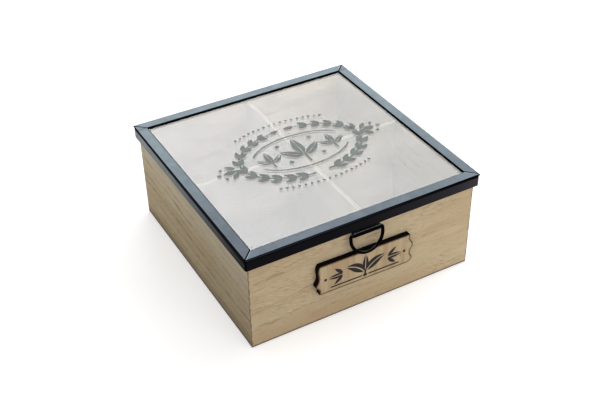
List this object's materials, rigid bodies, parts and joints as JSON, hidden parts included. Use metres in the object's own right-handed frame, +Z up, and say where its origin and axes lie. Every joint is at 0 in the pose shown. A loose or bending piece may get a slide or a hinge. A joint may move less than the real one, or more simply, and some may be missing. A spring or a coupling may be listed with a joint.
{
  "type": "compartment tea box",
  "caption": "Square wooden tea box divided into compartments, with a hinged glass lid in a black sheet-metal frame, a wire ring pull and a wooden plaque.",
  "frame": {"origin": "centre of the box's underside, on the surface that it stands on", "axes": "+Z up, -Y out of the front with the plaque and the pull ring, +X to the right along the front"},
  "size_m": [0.18, 0.1849, 0.0779],
  "materials": {
    "wall_wood": "unvarnished, fine grain, flush mitred corners",
    "base_board": "thin plywood, unvarnished",
    "divider_board": "thin plywood, unvarnished",
    "plaque_wood": "unvarnished face, dark burnt edges",
    "frame_enamel": "satin black enamel",
    "fitting_enamel": "satin black enamel",
    "hinge_enamel": "satin black enamel",
    "pane_glass": "clear, flat, printed with a grey ornament",
    "clip_steel": "bright zinc plate",
    "pin_steel": "bright drawn wire",
    "screw_steel": "zinc plate",
    "brad_steel": "bright wire"
  },
  "bodies": {
    "box": {"front_panel": "wall_wood", "right_panel": "wall_wood", "back_panel": "wall_wood", "left_panel": "wall_wood", "base_panel": "base_board", "base_brads": "brad_steel", "divider_left_right": "divider_board", "divider_front_back": "divider_board", "label_plaque": "plaque_wood", "hinge_leaf_lower_left": "hinge_enamel", "hinge_leaf_lower_right": "hinge_enamel", "hinge_pin_left": "pin_steel", "hinge_pin_right": "pin_steel", "hinge_screws": "screw_steel"},
    "lid": {"lid_frame": "frame_enamel", "glass_pane": "pane_glass", "glass_clips": "clip_steel", "pull_clip": "fitting_enamel", "hinge_leaf_upper_left": "hinge_enamel", "hinge_leaf_upper_right": "hinge_enamel", "hinge_rivets": "hinge_enamel"},
    "pull_ring": {"pull_ring": "fitting_enamel"}
  },
  "joints": [
    {"name": "lid_hinge", "type": "hinge", "parent": "box", "child": "lid", "pos_m": [0, 0.08847, 0.06954], "axis": [-1, 0, 0], "range_deg": [0, 106]},
    {"name": "ring_hinge", "type": "hinge", "parent": "lid", "child": "pull_ring", "pos_m": [-0.0017, -0.09045, 0.0664], "axis": [-1, 0, 0], "range_deg": [0, 148]}
  ]
}
